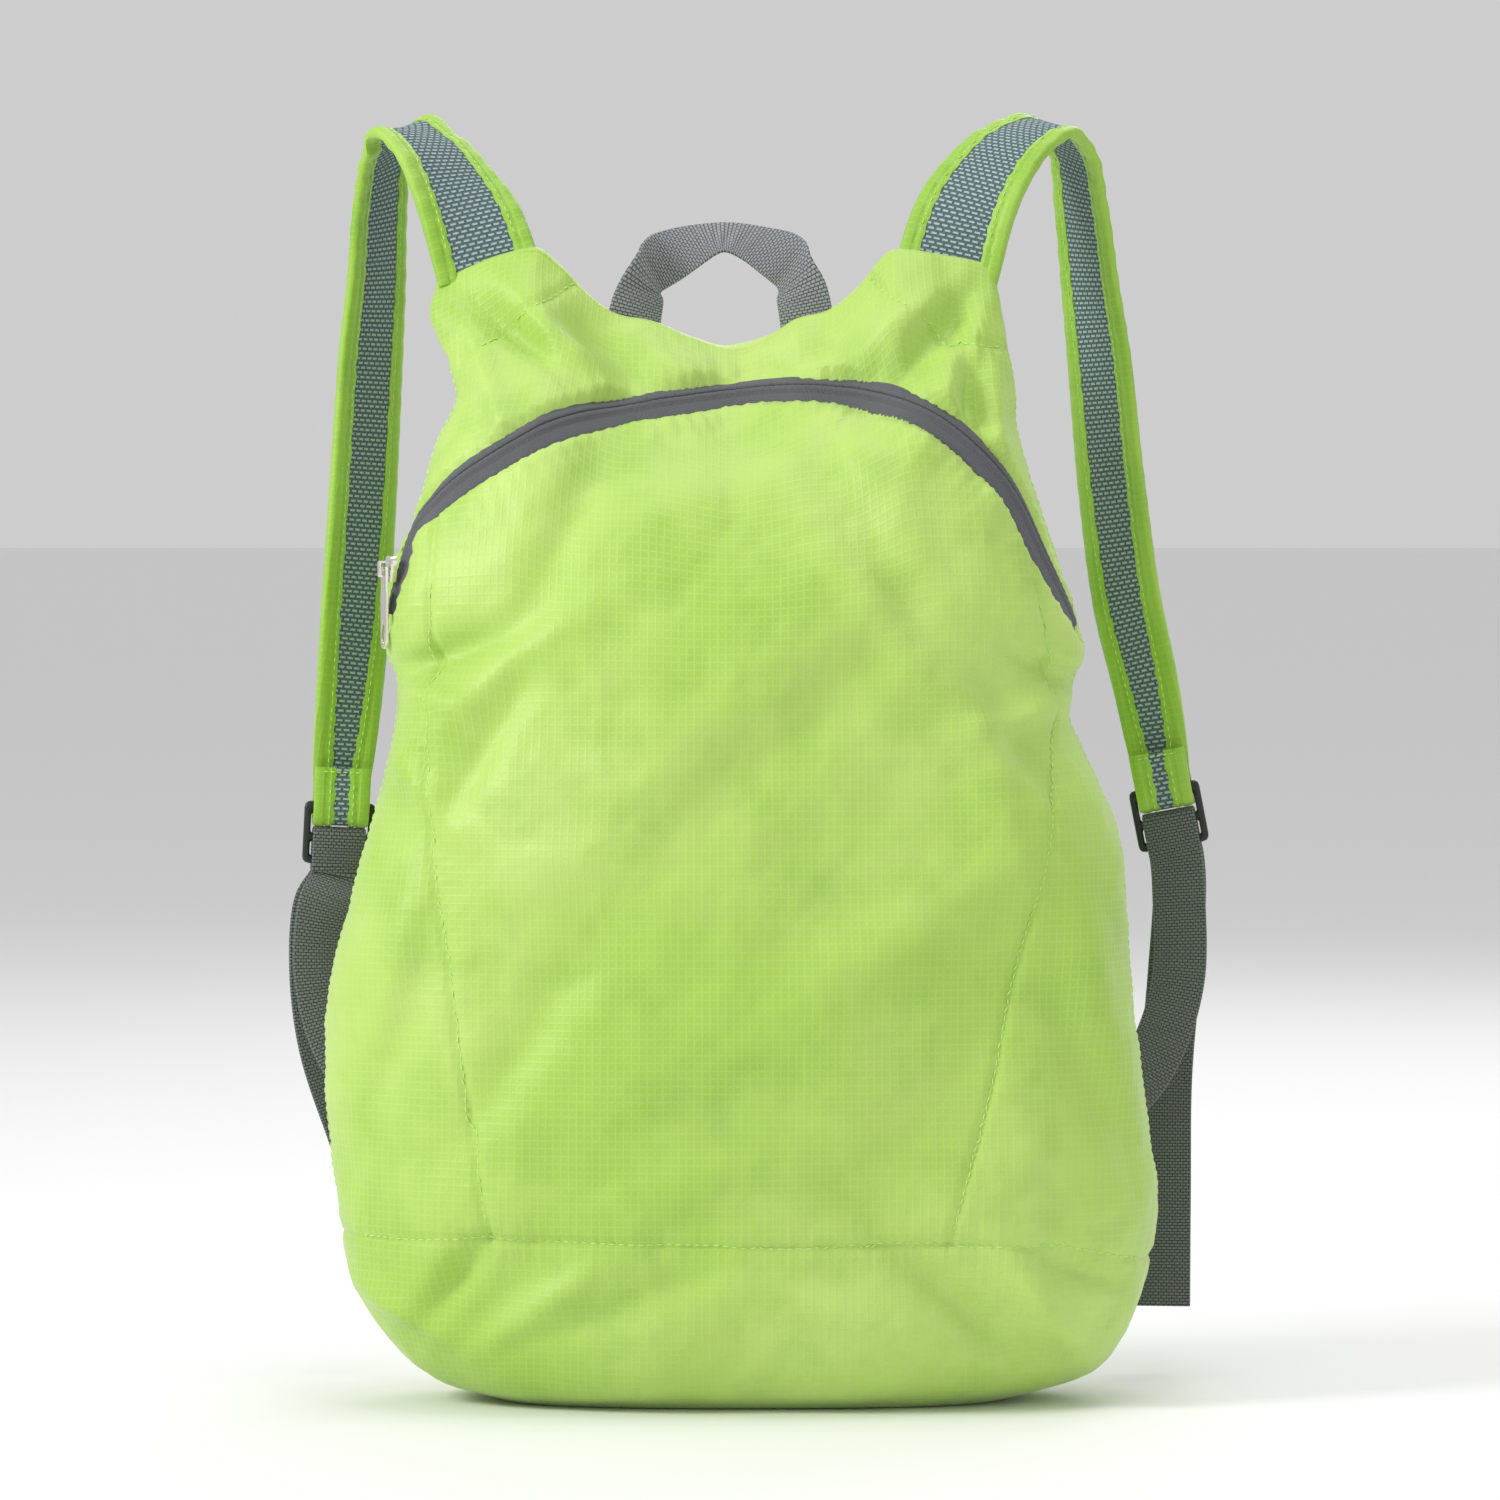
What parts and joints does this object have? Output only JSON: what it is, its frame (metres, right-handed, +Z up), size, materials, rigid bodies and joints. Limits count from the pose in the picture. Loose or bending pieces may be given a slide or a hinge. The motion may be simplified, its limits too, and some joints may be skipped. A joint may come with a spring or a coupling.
{
  "type": "packable backpack",
  "caption": "Thin ripstop backpack with an arched front zip, a webbing grab handle and two mesh shoulder straps on ladder-lock buckles",
  "frame": {"origin": "middle of the flat base the bag stands on", "axes": "+Z up, the zip side faces -Y, +X to the viewer's right"},
  "size_m": [0.3467, 0.1772, 0.4733],
  "materials": {
    "lime_cloth": "thin ripstop nylon, lime green, soft sheen",
    "zip_tape": "woven zip tape, grey",
    "webbing": "woven webbing, dark grey",
    "air_mesh": "spacer mesh, grey blue",
    "black_plastic": "moulded, satin black",
    "metal": "bright nickel plate"
  },
  "bodies": {
    "bag": {"back_panel": "lime_cloth", "bottom_panel": "lime_cloth", "front_panel": "lime_cloth", "grab_handle": "webbing", "left_buckle": "black_plastic", "left_shoulder_corner": "lime_cloth", "left_side_panel": "lime_cloth", "left_strap_binding_left": "lime_cloth", "left_strap_binding_right": "lime_cloth", "left_strap_mesh": "air_mesh", "left_webbing": "webbing", "right_buckle": "black_plastic", "right_shoulder_corner": "lime_cloth", "right_side_panel": "lime_cloth", "right_strap_binding_left": "lime_cloth", "right_strap_binding_right": "lime_cloth", "right_strap_mesh": "air_mesh", "right_webbing": "webbing", "yoke": "lime_cloth", "zip_coil": "zip_tape", "zip_slider": "metal", "zip_tape": "zip_tape"},
    "pull": {"zip_pull": "metal"}
  },
  "joints": [
    {"name": "zip_pull_swing", "type": "hinge", "parent": "bag", "child": "pull", "pos_m": [-0.13125, -0.01425, 0.30295], "axis": [-0.342, 0.9397, 0], "range_deg": [0, 130]}
  ]
}
